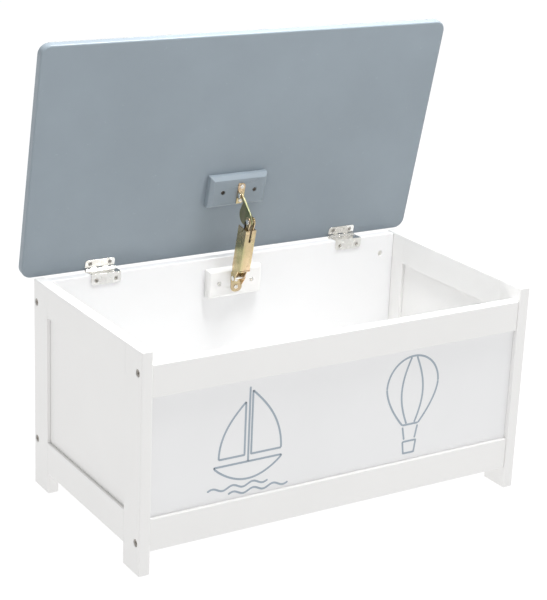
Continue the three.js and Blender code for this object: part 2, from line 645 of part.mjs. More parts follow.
function addLowerBracket(box) {
  const { y, z } = LOWER_PIVOT;
  const base = plate('y', roundedRectangle(LOWER_PLATE.low, LOWER_PLATE.high,
    LOWER_PLATE.left, LOWER_FLANGE.high, [LOWER_PLATE.corner, 0, 0, LOWER_PLATE.corner]),
  lowerPlateFront, lowerPlateFront + SHEET);
  const back = lowerPlateFront + SHEET;
  const flange = join(
    rod('x', y, z, LOWER_FLANGE.low, LOWER_FLANGE.high, LOWER_FLANGE.radius),
    plate('x', polygon([[back, LOWER_FLANGE.rootLow], [back, LOWER_FLANGE.rootHigh],
      [y + 2, z + 5.6], [y - 5.4, z - 2.4]]), LOWER_FLANGE.low, LOWER_FLANGE.high),
  );
  const holes = LOWER_PLATE.screwHeights.map((screwZ) => (
    hole('y', screwZ, 0, lowerPlateFront - 1, back + 1)));
  const pivotHole = rod('x', y, z, 0, 20, RIVET_RADIUS + GAP, RIVET_RADIUS + GAP, 16);
  addPiece(box, 'stay_lower_bracket', cut(join(base, flange), ...holes, pivotHole), 'yellowZinc');
  LOWER_PLATE.screwHeights.forEach((screwZ, i) => {
    addPiece(box, `stay_lower_bracket_screw_${i + 1}`,
      panScrew('y', screwZ, 0, lowerPlateFront - GAP, 1, BRACKET_SCREW_LENGTH), 'nickel');
  });
  addPiece(box, 'stay_lower_rivet', rivet(LOWER_PIVOT, -HOUSING.width / 2 - GAP, LOWER_FLANGE.high + GAP),
    'nickel');
}

// ---- Upper bracket, on the lid block, with the lid closed and the hinge axis as origin ----

const upperPlateHigh = lidBlockFace - GAP;
const upperPlateLow = upperPlateHigh - SHEET;
const upperScrewYs = UPPER_PLATE.screwsBehind.map((distance) => LID_TAIL - distance);

// The upper pivot turned with the lid from its place at rest to the closed lid's frame.
const upperPivotClosed = (() => {
  const dy = UPPER_PIVOT.y - HINGE_Y;
  const dz = UPPER_PIVOT.z - HINGE_Z;
  const cos = Math.cos(LID_OPEN_ANGLE);
  const sin = Math.sin(LID_OPEN_ANGLE);
  return { y: dy * cos - dz * sin, z: dy * sin + dz * cos };
})();

function addUpperBracket(lid) {
  const { y, z } = upperPivotClosed;
  const near = LID_TAIL - UPPER_PLATE.near;
  const far = LID_TAIL - UPPER_PLATE.far;
  const outline = roundedRectangle(UPPER_FLANGE.low, UPPER_PLATE.right, far, near,
    [0, UPPER_PLATE.corner, UPPER_PLATE.corner, 0]);
  const base = plate('z', outline, upperPlateLow, upperPlateHigh);
  const flange = join(
    rod('x', y, z, UPPER_FLANGE.low, UPPER_FLANGE.high, UPPER_FLANGE.radius),
    plate('x', polygon([[y - UPPER_FLANGE.rootFar, upperPlateHigh], [y - 5.9, z], [y + 5.9, z],
      [y + UPPER_FLANGE.rootNear, upperPlateHigh]]), UPPER_FLANGE.low, UPPER_FLANGE.high),
  );
  const holes = upperScrewYs.map((screwY) => (
    hole('z', UPPER_SCREW_X, screwY, upperPlateLow - 1, upperPlateHigh + 1)));
  const pivotHole = rod('x', y, z, -20, 0, UPPER_RIVET_RADIUS + GAP, UPPER_RIVET_RADIUS + GAP, 16);
  addPiece(lid, 'stay_upper_bracket', cut(join(base, flange), ...holes, pivotHole), 'yellowZinc');
  upperScrewYs.forEach((screwY, i) => {
    addPiece(lid, `stay_upper_bracket_screw_${i + 1}`,
      panScrew('z', UPPER_SCREW_X, screwY, upperPlateLow - GAP, 1, BRACKET_SCREW_LENGTH), 'nickel');
  });
  const innerHead = UPPER_RIVET_RADIUS + UPPER_PIVOT_PLAY + GAP + 1.2;
  addPiece(lid, 'stay_upper_rivet',
    rivet(upperPivotClosed, UPPER_FLANGE.low - GAP, ARM.high + GAP, innerHead, UPPER_RIVET_RADIUS), 'nickel');
}

// ---- Stay housing, spring and follower ----

// A pivot seen from the housing's foot, along and across its length.
function inHousing({ y, z }) {
  const dy = y - HOUSING.foot.y;
  const dz = z - HOUSING.foot.z;
  const cos = Math.cos(HOUSING.tilt);
  const sin = Math.sin(HOUSING.tilt);
  return { y: dy * cos + dz * sin, z: -dy * sin + dz * cos };
}

function addHousing(stay) {
  const { width, depth, length } = HOUSING;
  const half = width / 2;
  const front = -depth / 2;
  const back = depth / 2;
  const foot = inHousing(LOWER_PIVOT);
  const wall = (low, high) => join(
    slab(low, high, front, back, 0, length),
    rod('x', foot.y, foot.z, low, high, FOOT_EAR),
    plate('x', polygon([[FOOT_WEB.front, FOOT_WEB.frontTop], [foot.y - FOOT_EAR, foot.z],
      [foot.y + FOOT_EAR, foot.z], [back, FOOT_WEB.backTop]]), low, high),
  );
  const shell = join(
    wall(-half, -half + SHEET),
    wall(half - SHEET, half),
    slab(-half, half, front, front + SHEET, 0, length),
    rod('x', front + 0.4, 1.6, -half, half, 1.6, 1.6, 12),
  );
  // open slot in the front wall that the arm's lobe swings through
  const slot = plate('y', roundedRectangle(SLOT.low, length + 1, -SLOT.half, SLOT.half,
    [SLOT.half - 0.1, 0, 0, SLOT.half - 0.1]), front - 2, front + 3);
  const body = cut(
    shell,
    slot,
    rod('x', foot.y, foot.z, -half - 1, half + 1, RIVET_RADIUS + GAP, RIVET_RADIUS + GAP, 16),
  );
  addPiece(stay, 'stay_housing', body, 'yellowZinc');

  // inner yoke whose two ears carry the elbow rivet
  const elbow = inHousing(ELBOW_PIVOT);
  const web = front + SHEET + GAP;
  const ear = (low, high) => join(
    rod('x', elbow.y, elbow.z, low, high, YOKE.ear, YOKE.ear, 24),
    plate('x', polygon([[web, YOKE.low], [YOKE.back, YOKE.low], [elbow.y + YOKE.ear, elbow.z],
      [elbow.y - YOKE.ear, elbow.z], [web, length]]), low, high),
  );
  const yoke = cut(
    join(
      ear(-YOKE.half, -YOKE.half + SHEET),
      ear(YOKE.half - SHEET, YOKE.half),
      slab(-YOKE.half, YOKE.half, web, web + SHEET, YOKE.low, YOKE.webHigh),
    ),
    rod('x', elbow.y, elbow.z, -half, half, RIVET_RADIUS + GAP, RIVET_RADIUS + GAP, 16),
  );
  addPiece(stay, 'stay_yoke', yoke, 'yellowZinc');

  const follower = join(
    slab(-7.5, 7.5, -8, 8, SPRING.high + 1.2, SPRING.high + 7),
    slab(-3.6, 3.6, -7, 3, SPRING.high + 6, YOKE.webHigh - 1),
    rod('z', 0, 0, SPRING.high - 8, SPRING.high + 2, 3.6, 3.6, 12),
  );
  addPiece(stay, 'stay_follower', follower, 'moulded');

  class Helix extends THREE.Curve {
    getPoint(t, target = new THREE.Vector3()) {
      const angle = t * SPRING.turns * Math.PI * 2;
      const height = SPRING.low + t * (SPRING.high - SPRING.low);
      return target.set(SPRING.radius * Math.cos(angle), SPRING.radius * Math.sin(angle), height);
    }
  }
  const section = new THREE.Shape();
  section.absarc(0, 0, SPRING.wire, 0, Math.PI * 2);
  const coil = new THREE.ExtrudeGeometry(section, {
    steps: SPRING.turns * 10,
    curveSegments: 3,
    extrudePath: new Helix(),
  });
  addPiece(stay, 'stay_spring', solid(coil), 'springSteel');
}

// ---- Stay arm, at rest ----

function addArm(box) {
  const b = ELBOW_PIVOT;
  const c = UPPER_PIVOT;
  const cos = Math.cos(ARM.slope);
  const sin = Math.sin(ARM.slope);
  // point t along the arm's front edge from the elbow and n towards that edge
  const at = (t, n) => [b.y + t * cos - n * sin, b.z + t * sin + n * cos];
  const lobe = at(LOBE.along, LOBE.across);
  const end = (c.y - b.y) * cos + (c.z - b.z) * sin;
  const outline = [...ARM_BACK, [end - ARM.end + 0.4, 1], [end, -0.4], [end, ARM.front], ...ARM_NOSE];
  const body = join(
    rod('x', lobe[0], lobe[1], ARM.low, ARM.high, LOBE.radius, LOBE.radius, 40),
    rod('x', c.y, c.z, ARM.low, ARM.high, ARM.end, ARM.end, 24),
    rod('x', b.y, b.z, ARM.low, ARM.high, ARM.boss, ARM.boss, 24),
    plate('x', polygon(outline.map(([t, n]) => at(t, n))), ARM.low, ARM.high),
  );
  const slack = UPPER_RIVET_RADIUS + UPPER_PIVOT_PLAY + GAP;
  const arm = cut(
    body,
    rod('x', b.y, b.z, ARM.low - 1, ARM.high + 1, RIVET_RADIUS + GAP, RIVET_RADIUS + GAP, 16),
    rod('x', c.y, c.z, ARM.low - 1, ARM.high + 1, slack, slack, 20),
  );
  addPiece(box, 'stay_arm', arm, 'yellowZinc');

  // shouldered rivet: two collars keep the arm in the middle of the yoke
  const head = YOKE.half + GAP;
  const collarOuter = YOKE.half - SHEET - GAP;
  const collarInner = ARM.high + GAP;
  const collar = 4.2;
  const half = [
    [RIVET_RADIUS, collarInner], [collar, collarInner], [collar, collarOuter], [RIVET_RADIUS, collarOuter],
    [RIVET_RADIUS, head], [RIVET_HEAD_RADIUS, head], [RIVET_HEAD_RADIUS, head + RIVET_HEAD_THICK * 0.4],
    [RIVET_HEAD_RADIUS * 0.7, head + RIVET_HEAD_THICK], [0, head + RIVET_HEAD_THICK],
  ];
  const otherHalf = half.map(([radius, x]) => [radius, -x]).reverse();
  addPiece(box, 'stay_elbow_rivet', turned('x', b.y, b.z, 0, 1, [...otherHalf, ...half]), 'nickel');
}

// ---- Assembly ----

const toyBox = new THREE.Group();
toyBox.position.y = -OVERALL_DEPTH / 2;

for (const [label, side] of SIDES) addEndFrame(toyBox, label, side);
addFront(toyBox);
addBackAndFloor(toyBox);
addBolts(toyBox);
addBackBlock(toyBox);
addLowerBracket(toyBox);
addArm(toyBox);

const lidGroup = new THREE.Group();
lidGroup.position.set(0, HINGE_Y, HINGE_Z);
lidGroup.rotation.x = -LID_OPEN_ANGLE;
addLid(lidGroup);
addUpperBracket(lidGroup);
addHinges(toyBox, lidGroup);
toyBox.add(lidGroup);

const housingGroup = new THREE.Group();
housingGroup.position.set(0, HOUSING.foot.y, HOUSING.foot.z);
housingGroup.rotation.x = HOUSING.tilt;
addHousing(housingGroup);
toyBox.add(housingGroup);

export default toyBox;
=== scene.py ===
import json
import math

import bmesh
import bpy
import numpy as np
from mathutils import Matrix, Vector


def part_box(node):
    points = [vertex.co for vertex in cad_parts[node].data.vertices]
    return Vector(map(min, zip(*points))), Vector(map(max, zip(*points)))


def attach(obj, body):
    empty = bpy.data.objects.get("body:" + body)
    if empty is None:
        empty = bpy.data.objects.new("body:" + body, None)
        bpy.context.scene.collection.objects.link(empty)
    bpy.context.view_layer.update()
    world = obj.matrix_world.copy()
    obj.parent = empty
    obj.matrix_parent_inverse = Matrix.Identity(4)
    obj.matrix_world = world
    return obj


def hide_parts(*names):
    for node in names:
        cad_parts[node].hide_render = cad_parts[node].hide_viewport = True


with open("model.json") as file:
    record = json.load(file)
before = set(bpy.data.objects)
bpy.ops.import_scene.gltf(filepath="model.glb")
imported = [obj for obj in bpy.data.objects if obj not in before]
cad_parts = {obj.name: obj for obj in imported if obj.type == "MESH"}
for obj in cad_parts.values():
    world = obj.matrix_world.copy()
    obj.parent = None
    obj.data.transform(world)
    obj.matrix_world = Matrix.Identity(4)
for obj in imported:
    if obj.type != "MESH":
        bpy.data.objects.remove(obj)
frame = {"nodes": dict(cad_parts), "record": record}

# A painted wooden toy box whose lid is held open by a sprung stay. Metres, the front faces -Y.
scene = bpy.context.scene
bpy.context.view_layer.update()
record = frame["record"]
bodyOf = {node: body for body, nodes in record["behaviour"]["bodies"].items() for node in nodes}
slotOf = {part["node"]: part["material_slot"] for part in record["subparts"]}
jointOf = {joint["name"]: joint for joint in record["behaviour"]["joints"]}
print("frame loaded:", len(frame["nodes"]), "nodes")


# Camera and studio

cameraSetup = {
    "place": (-1.4502, -2.2674, 1.2476),
    "turn": 32.35,  # degrees to the right of straight ahead
    "dip": 18.62,  # degrees below level
    "roll": 2.42,
    "lens": 99.354,  # millimetres, on the 36 mm side
}

studio = {
    "sky": (1.0, 1.0, 1.0),
    "skyStrength": 0.64,
    "floorHalf": 40.0,
    "floorTone": (0.1, 0.1, 0.1),
    "floorGlow": 0.94,  # keeps the floor pale where the box shades it
    "softboxes": {  # place, aim, size, watts
        "keySoftbox": ((-2.5, -0.3, 1.7), (0.0, 0.0, 0.3), 1.4, 2.0),
        "fillSoftbox": ((0.9, -1.9, 2.0), (0.1, 0.0, 0.3), 0.7, 1.5),
        "topSoftbox": ((0.26, -0.14, 2.0), (0.04, -0.04, 0.0), 0.7, 47.0),
    },
}


def addCamera(setup):
    turn, dip, roll = (math.radians(setup[key]) for key in ("turn", "dip", "roll"))
    ahead = np.array([math.sin(turn) * math.cos(dip), math.cos(turn) * math.cos(dip), -math.sin(dip)])
    level = np.array([math.cos(turn), -math.sin(turn), 0.0])
    above = np.cross(level, ahead)
    right = math.cos(roll) * level + math.sin(roll) * above
    top = math.cos(roll) * above - math.sin(roll) * level
    data = bpy.data.cameras.new("studioCamera")
    data.lens = setup["lens"]
    data.sensor_width = 36.0
    data.clip_end = 200.0
    camera = bpy.data.objects.new("studioCamera", data)
    scene.collection.objects.link(camera)
    columns = np.array([right, top, -ahead, setup["place"]]).T
    camera.matrix_world = Matrix([*columns.tolist(), [0.0, 0.0, 0.0, 1.0]])
    scene.camera = camera


def addSoftbox(name, place, aim, size, watts):
    data = bpy.data.lights.new(name, "AREA")
    data.shape = "SQUARE"
    data.size = size
    data.energy = watts
    light = bpy.data.objects.new(name, data)
    scene.collection.objects.link(light)
    away = Vector(place) - Vector(aim)
    light.rotation_euler = away.to_track_quat("Z", "Y").to_euler()
    light.location = place


def addStudio(look):
    world = bpy.data.worlds.new("paleStudio")
    world.use_nodes = True
    sky = world.node_tree.nodes["Background"]
    sky.inputs["Color"].default_value = (*look["sky"], 1.0)
    sky.inputs["Strength"].default_value = look["skyStrength"]
    scene.world = world
    scene.view_settings.view_transform = "Standard"
    for name, (place, aim, size, watts) in look["softboxes"].items():
        addSoftbox(name, place, aim, size, watts)
    half = look["floorHalf"]
    mesh = bpy.data.meshes.new("studioFloor")
    corners = [(-half, -half, 0), (half, -half, 0), (half, half, 0), (-half, half, 0)]
    mesh.from_pydata(corners, [], [(0, 1, 2, 3)])
    floor = bpy.data.objects.new("studioFloor", mesh)
    scene.collection.objects.link(floor)
    material = bpy.data.materials.new("studioFloorPaint")
    material.use_nodes = True
    shader = material.node_tree.nodes["Principled BSDF"]
    shader.inputs["Base Color"].default_value = (*look["floorTone"], 1.0)
    shader.inputs["Roughness"].default_value = 0.9
    shader.inputs["Specular IOR Level"].default_value = 0.1
    shader.inputs["Emission Color"].default_value = (1.0, 1.0, 1.0, 1.0)
    shader.inputs["Emission Strength"].default_value = look["floorGlow"]
    mesh.materials.append(material)


addCamera(cameraSetup)
addStudio(studio)
print("camera and studio ready")


# Finishes. Every pattern reads Object coordinates, in metres.

def addNode(tree, kind, sockets=None, **settings):
    node = tree.nodes.new(kind)
    for key, value in settings.items():
        setattr(node, key, value)
    for key, value in (sockets or {}).items():
        if isinstance(value, bpy.types.NodeSocket):
            tree.links.new(value, node.inputs[key])
        else:
            node.inputs[key].default_value = value
    return node


def startFinish(name):
    material = bpy.data.materials.new(name)
    material.use_nodes = True
    tree = material.node_tree
    place = addNode(tree, "ShaderNodeTexCoord").outputs["Object"]
    return material, tree, tree.nodes["Principled BSDF"], place


def noise(tree, place, scale, detail=2.0, stretch=(1.0, 1.0, 1.0)):
    turned = addNode(tree, "ShaderNodeMapping", {"Vector": place, "Scale": stretch})
    sockets = {"Vector": turned.outputs["Vector"], "Scale": scale, "Detail": detail}
    return addNode(tree, "ShaderNodeTexNoise", sockets).outputs["Fac"]


def remap(tree, value, low, high, fromLow=0.3, fromHigh=0.7):
    sockets = {"Value": value, "From Min": fromLow, "From Max": fromHigh, "To Min": low, "To Max": high}
    return addNode(tree, "ShaderNodeMapRange", sockets).outputs["Result"]


def tints(tree, value, stops):
    ramp = addNode(tree, "ShaderNodeValToRGB", {"Fac": value})
    marks = ramp.color_ramp.elements
    while len(marks) < len(stops):
        marks.new(0.5)
    for mark, (place, colour) in zip(marks, sorted(stops)):
        mark.position = place
        mark.color = (*colour, 1.0)
    return ramp.outputs["Color"]


def scaled(colour, factor):
    return tuple(min(1.0, channel * factor) for channel in colour)


def bumps(tree, layers):
    last = None
    for height, distance in layers:
        sockets = {"Height": height, "Distance": distance, "Strength": 1.0}
        if last is not None:
            sockets["Normal"] = last
        last = addNode(tree, "ShaderNodeBump", sockets).outputs["Normal"]
    return last


def paint(name, look):
    # clouded colour, fine sprayed stipple and long brush or grain lines along one axis
    material, tree, shader, place = startFinish(name)
    cloud = noise(tree, place, look["cloudScale"], 3.0)
    fleck = noise(tree, place, look["fleckScale"], 1.0)
    darker = scaled(look["colour"], 1.0 - look["cloud"])
    lighter = scaled(look["colour"], 1.0 + look["cloud"])
    ground = tints(tree, cloud, [(0.36, darker), (0.64, lighter)])
    marks = remap(tree, fleck, 0.0, look["fleck"], 0.74, 0.8)
    mixed = addNode(tree, "ShaderNodeMix", data_type="RGBA")
    tree.links.new(marks, mixed.inputs[0])
    tree.links.new(ground, mixed.inputs[6])
    mixed.inputs[7].default_value = (*scaled(look["colour"], 1.35), 1.0)
    tree.links.new(mixed.outputs[2], shader.inputs["Base Color"])
    stipple = noise(tree, place, look["stippleScale"], 2.0)
    grain = noise(tree, place, 1.0, 3.0, look["grain"])
    low, high = look["rough"]
    tree.links.new(remap(tree, grain, low, high), shader.inputs["Roughness"])
    layers = [(stipple, look["stippleDepth"]), (grain, look["grainDepth"])]
    tree.links.new(bumps(tree, layers), shader.inputs["Normal"])
    shader.inputs["Specular IOR Level"].default_value = look["gloss"]
    return material


def plate(name, look):
    # plated metal: tints drift over the surface, rolling lines and faint scuffs break the shine
    material, tree, shader, place = startFinish(name)
    drift = noise(tree, place, look["driftScale"], 3.0, look["driftStretch"])
    tree.links.new(tints(tree, drift, look["tints"]), shader.inputs["Base Color"])
    shader.inputs["Metallic"].default_value = 1.0
    rolled = noise(tree, place, 1.0, 2.0, look["rolled"])
    scuffs = noise(tree, place, look["scuffScale"], 4.0)
    low, high = look["rough"]
    tree.links.new(remap(tree, scuffs, low, high), shader.inputs["Roughness"])
    layers = [(rolled, look["rolledDepth"]), (scuffs, look["scuffDepth"])]
    tree.links.new(bumps(tree, layers), shader.inputs["Normal"])
    return material


def plastic(name, look):
    # moulded plastic with a fine spark-eroded grain
    material, tree, shader, place = startFinish(name)
    grain = noise(tree, place, look["grainScale"], 2.0)
    stops = [(0.35, scaled(look["colour"], 0.85)), (0.65, scaled(look["colour"], 1.15))]
    tree.links.new(tints(tree, grain, stops), shader.inputs["Base Color"])
    tree.links.new(remap(tree, grain, *look["rough"]), shader.inputs["Roughness"])
    tree.links.new(bumps(tree, [(grain, look["grainDepth"])]), shader.inputs["Normal"])
    return material


whitePaint = {
    "colour": (0.875, 0.87, 0.86), "cloud": 0.01, "cloudScale": 5.0, "fleck": 0.0, "fleckScale": 160.0,
    "stippleScale": 900.0, "stippleDepth": 0.00003, "grain": (26.0, 320.0, 320.0), "grainDepth": 0.00004,
    "rough": (0.34, 0.46), "gloss": 0.45,
}
uprightPaint = {**whitePaint, "grain": (320.0, 320.0, 26.0)}
crossPaint = {**whitePaint, "grain": (320.0, 26.0, 320.0)}
panelPaint = {
    **whitePaint, "colour": (0.86, 0.862, 0.868), "grain": (60.0, 60.0, 60.0), "grainDepth": 0.00002,
    "rough": (0.3, 0.38),
}
lidPaint = {
    **whitePaint, "colour": (0.262, 0.31, 0.35), "cloud": 0.03, "cloudScale": 7.0, "fleck": 0.25,
    "grain": (60.0, 60.0, 60.0), "grainDepth": 0.00003, "rough": (0.36, 0.5), "gloss": 0.5,
}
printInk = {
    **whitePaint, "colour": (0.36, 0.42, 0.48), "cloud": 0.03, "cloudScale": 60.0, "grainDepth": 0.00001,
    "stippleDepth": 0.00001, "rough": (0.4, 0.5), "gloss": 0.4,
}
yellowZinc = {
    "tints": [
        (0.3, (0.42, 0.41, 0.21)), (0.45, (0.62, 0.50, 0.30)),
        (0.58, (0.70, 0.52, 0.35)), (0.72, (0.52, 0.46, 0.25)),
    ],
    "driftScale": 24.0, "driftStretch": (1.0, 1.0, 0.5),
    "rolled": (700.0, 700.0, 18.0), "rolledDepth": 0.000006,
    "scuffScale": 160.0, "scuffDepth": 0.000004, "rough": (0.2, 0.3),
}
# the stay arm's zinc: greener tints for the chromate's green cast, and darker tints as painted shade for the
# arm's face that lies in shadow
armZincWithPaintedShade = {
    **yellowZinc, "tints": [(0.3, (0.20, 0.24, 0.14)), (0.5, (0.36, 0.36, 0.20)), (0.7, (0.50, 0.42, 0.27))],
    "rough": (0.26, 0.38),
}
nickel = {
    "tints": [(0.35, (0.84, 0.825, 0.79)), (0.65, (0.95, 0.94, 0.91))],
    "driftScale": 70.0, "driftStretch": (1.0, 1.0, 1.0),
    "rolled": (30.0, 900.0, 900.0), "rolledDepth": 0.000006,
    "scuffScale": 300.0, "scuffDepth": 0.000005, "rough": (0.18, 0.3),
}
darkSteel = {
    "tints": [(0.35, (0.10, 0.09, 0.08)), (0.65, (0.17, 0.155, 0.14))],
    "driftScale": 260.0, "driftStretch": (1.0, 1.0, 1.0),
    "rolled": (500.0, 500.0, 500.0), "rolledDepth": 0.00001,
    "scuffScale": 700.0, "scuffDepth": 0.00001, "rough": (0.32, 0.5),
}
screwSteel = {
    **nickel, "tints": [(0.35, (0.42, 0.40, 0.37)), (0.65, (0.56, 0.54, 0.50))], "rough": (0.22, 0.34),
}
boltSteel = {
    **darkSteel, "tints": [(0.35, (0.27, 0.25, 0.225)), (0.65, (0.40, 0.375, 0.345))], "rough": (0.24, 0.36),
}
springSteel = {
    **darkSteel, "tints": [(0.35, (0.24, 0.23, 0.21)), (0.65, (0.36, 0.34, 0.31))], "rough": (0.25, 0.4),
}
mouldedBlack = {
    "colour": (0.03, 0.03, 0.033), "grainScale": 1500.0, "grainDepth": 0.00002, "rough": (0.4, 0.55),
}

finishes = {
    "whitePaint": paint("whitePaint", whitePaint),
    "uprightPaint": paint("uprightPaint", uprightPaint),
    "crossPaint": paint("crossPaint", crossPaint),
    "panelPaint": paint("panelPaint", panelPaint),
    "lidPaint": paint("lidPaint", lidPaint),
    "printInk": paint("printInk", printInk),
    "yellowZinc": plate("yellowZinc", yellowZinc),
    "armZincWithPaintedShade": plate("armZincWithPaintedShade", armZincWithPaintedShade),
    "screwSteel": plate("screwSteel", screwSteel),
    "boltSteel": plate("boltSteel", boltSteel),
    "nickel": plate("nickel", nickel),
    "darkSteel": plate("darkSteel", darkSteel),
    "springSteel": plate("springSteel", springSteel),
    "mouldedBlack": plastic("mouldedBlack", mouldedBlack),
}
slotFinish = {
    "white_paint": "whitePaint", "grey_paint": "lidPaint", "nickel": "nickel", "yellow_zinc": "yellowZinc",
    "dark_steel": "darkSteel", "spring_steel": "springSteel", "moulded_plastic": "mouldedBlack",
}
print("finishes mixed:", len(finishes))


# Shared tools for pieces

refinement = {
    "creaseAngle": math.radians(38),  # edges sharper than this stay crisp
    "bevelAngle": math.radians(40),
    "flatAngle": math.radians(0.5),
    "mergeDistance": 2e-6,
}


def finishOf(node):
    if node.endswith("_post"):
        return finishes["uprightPaint"]
    if node.endswith(("left_top_rail", "right_top_rail", "left_bottom_rail", "right_bottom_rail")):
        return finishes["crossPaint"]
    if node in ("front_panel", "back_panel"):
        return finishes["panelPaint"]
    if node == "stay_arm":
        # the arm's zinc finish carries painted shade: its tints are darkened for the shadowed face
        return finishes["armZincWithPaintedShade"]
    if "hinge" in node and node.endswith("_screw"):
        return finishes["screwSteel"]
    if node.endswith("_bolt"):
        return finishes["boltSteel"]
    return finishes[slotFinish[slotOf[node]]]


def addPiece(name, vertices, faces, material, body):
    mesh = bpy.data.meshes.new(name)
    mesh.from_pydata(vertices.tolist(), [], faces)
    mesh.materials.append(material)
    mesh.shade_smooth()
    mesh.set_sharp_from_angle(angle=refinement["creaseAngle"])
    piece = bpy.data.objects.new(name, mesh)
    scene.collection.objects.link(piece)
    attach(piece, body)
    return piece


def points(node):
    # every corner of a CAD node at rest, as an array of rows
    mesh = frame["nodes"][node].data
    flat = np.empty(len(mesh.vertices) * 3)
    mesh.vertices.foreach_get("co", flat)
    return flat.reshape(-1, 3)


def gridFaces(rows, columns, wrapRows=False, wrapColumns=True):
    # quads of a grid of rows x columns points, numbered row by row
    row = np.arange(rows if wrapRows else rows - 1)[:, None]
    column = np.arange(columns if wrapColumns else columns - 1)[None, :]
    nextRow = (row + 1) % rows
    nextColumn = (column + 1) % columns
    corners = (row * columns + column, row * columns + nextColumn, nextRow * columns + nextColumn,
               nextRow * columns + column)
    return np.stack(np.broadcast_arrays(*corners), axis=-1).reshape(-1, 4).tolist()


# Refined copies of the CAD pieces: merged, with softened edges

edgeSoftness = {
    "white_paint": 0.0009, "grey_paint": 0.0007, "nickel": 0.00025, "yellow_zinc": 0.0003,
    "dark_steel": 0.0003, "spring_steel": 0.0, "moulded_plastic": 0.0004,
}


framePieces = tuple(f"{side}_{part}" for side in ("left", "right")
                    for part in ("front_post", "rear_post", "top_rail", "bottom_rail"))


def refine(node):
    mesh = frame["nodes"][node].data.copy()
    mesh.materials.clear()
    mesh.materials.append(finishOf(node))
    shell = bmesh.new()
    shell.from_mesh(mesh)
    bmesh.ops.remove_doubles(shell, verts=shell.verts, dist=refinement["mergeDistance"])
    bmesh.ops.dissolve_limit(shell, angle_limit=refinement["flatAngle"], verts=shell.verts, edges=shell.edges)
    shell.to_mesh(mesh)
    shell.free()
    mesh.polygons.foreach_set("material_index", np.zeros(len(mesh.polygons), dtype=np.int32))
    mesh.shade_smooth()
    mesh.set_sharp_from_angle(angle=refinement["creaseAngle"])
    piece = bpy.data.objects.new("fine_" + node, mesh)
    scene.collection.objects.link(piece)
    softness = edgeSoftness[slotOf[node]]
    if softness and not node.startswith(framePieces):  # the end frames are already rounded
        bevel = piece.modifiers.new("softEdges", "BEVEL")
        bevel.width = softness
        bevel.segments = 3
        bevel.limit_method = "ANGLE"
        bevel.angle_limit = refinement["bevelAngle"]
        bevel.use_clamp_overlap = False
    flats = piece.modifiers.new("flatFaces", "WEIGHTED_NORMAL")  # broad faces stay flat beside the soft edges
    flats.keep_sharp = True
    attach(piece, bodyOf[node])
    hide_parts(node)


# Turned pieces: screws, bolts and barrel nuts

def crossRecess(x, y, size):
    near, far = np.minimum(abs(x), abs(y)), np.maximum(abs(x), abs(y))
    wall = np.clip((size["width"] / 2 - near) / size["width"] * 3.0, 0.0, 1.0)
    run = np.clip((size["reach"] - far) / size["reach"] * 1.8, 0.0, 1.0)
    return size["depth"] * wall * run


def slotRecess(x, y, size):
    return size["depth"] * np.clip((size["width"] / 2 - abs(y)) / size["width"] * 4.0, 0.0, 1.0)


def hexRecess(x, y, size):
    turns = np.radians([0.0, 60.0, 120.0])[:, None, None]
    across = np.max(abs(x * np.cos(turns) + y * np.sin(turns)), axis=0)
    return size["depth"] * np.clip((size["reach"] - across) / size["reach"] * 8.0, 0.0, 1.0)


recessShape = {"cross": crossRecess, "slot": slotRecess, "hex": hexRecess}


def turnedSurface(profile, seat, facing, recess=None, sides=64, steps=72, spin=0.0):
    # radius r(s) and height h(s) run from the tip to the middle of the head; the point is
    # seat + r (cos a, sin a) across the axis + (h - recess depth) along it
    keys = np.array(profile)
    run = np.concatenate([[0.0], np.cumsum(np.hypot(*np.diff(keys, axis=0).T))])
    along = np.unique(np.concatenate([np.linspace(0.0, run[-1], steps), run]))
    radius, height = np.interp(along, run, keys[:, 0]), np.interp(along, run, keys[:, 1])
    facing = np.array(facing, float)
    sideways = np.cross(facing, [0.0, 0.0, 1.0] if abs(facing[2]) < 0.9 else [0.0, 1.0, 0.0])
    sideways /= np.linalg.norm(sideways)
    upward = np.cross(facing, sideways)
    angle = np.linspace(0.0, 2 * np.pi, sides, endpoint=False)
    x, y = radius[:, None] * np.cos(angle), radius[:, None] * np.sin(angle)
    lift = np.repeat(height[:, None], sides, axis=1)
    if recess:
        c, s = math.cos(spin), math.sin(spin)
        dip = recessShape[recess["kind"]](x * c + y * s, y * c - x * s, recess)
        lift = lift - dip * (along >= run[np.argmax(keys[:, 0])])[:, None]
    grid = np.asarray(seat) + x[..., None] * sideways + y[..., None] * upward + lift[..., None] * facing
    inner = grid[1:-1].reshape(-1, 3)
    ends = np.stack([grid[0].mean(axis=0), grid[-1].mean(axis=0)])
    vertices = np.concatenate([inner, ends])
    rows = len(along) - 2
    faces = gridFaces(rows, sides)
    first, last = rows * sides, rows * sides + 1
    ring = np.arange(sides)
    after = (ring + 1) % sides
    faces += np.stack([after, ring, np.full(sides, first)], axis=1).tolist()
    top = (rows - 1) * sides
    faces += np.stack([top + ring, top + after, np.full(sides, last)], axis=1).tolist()
    return vertices, faces


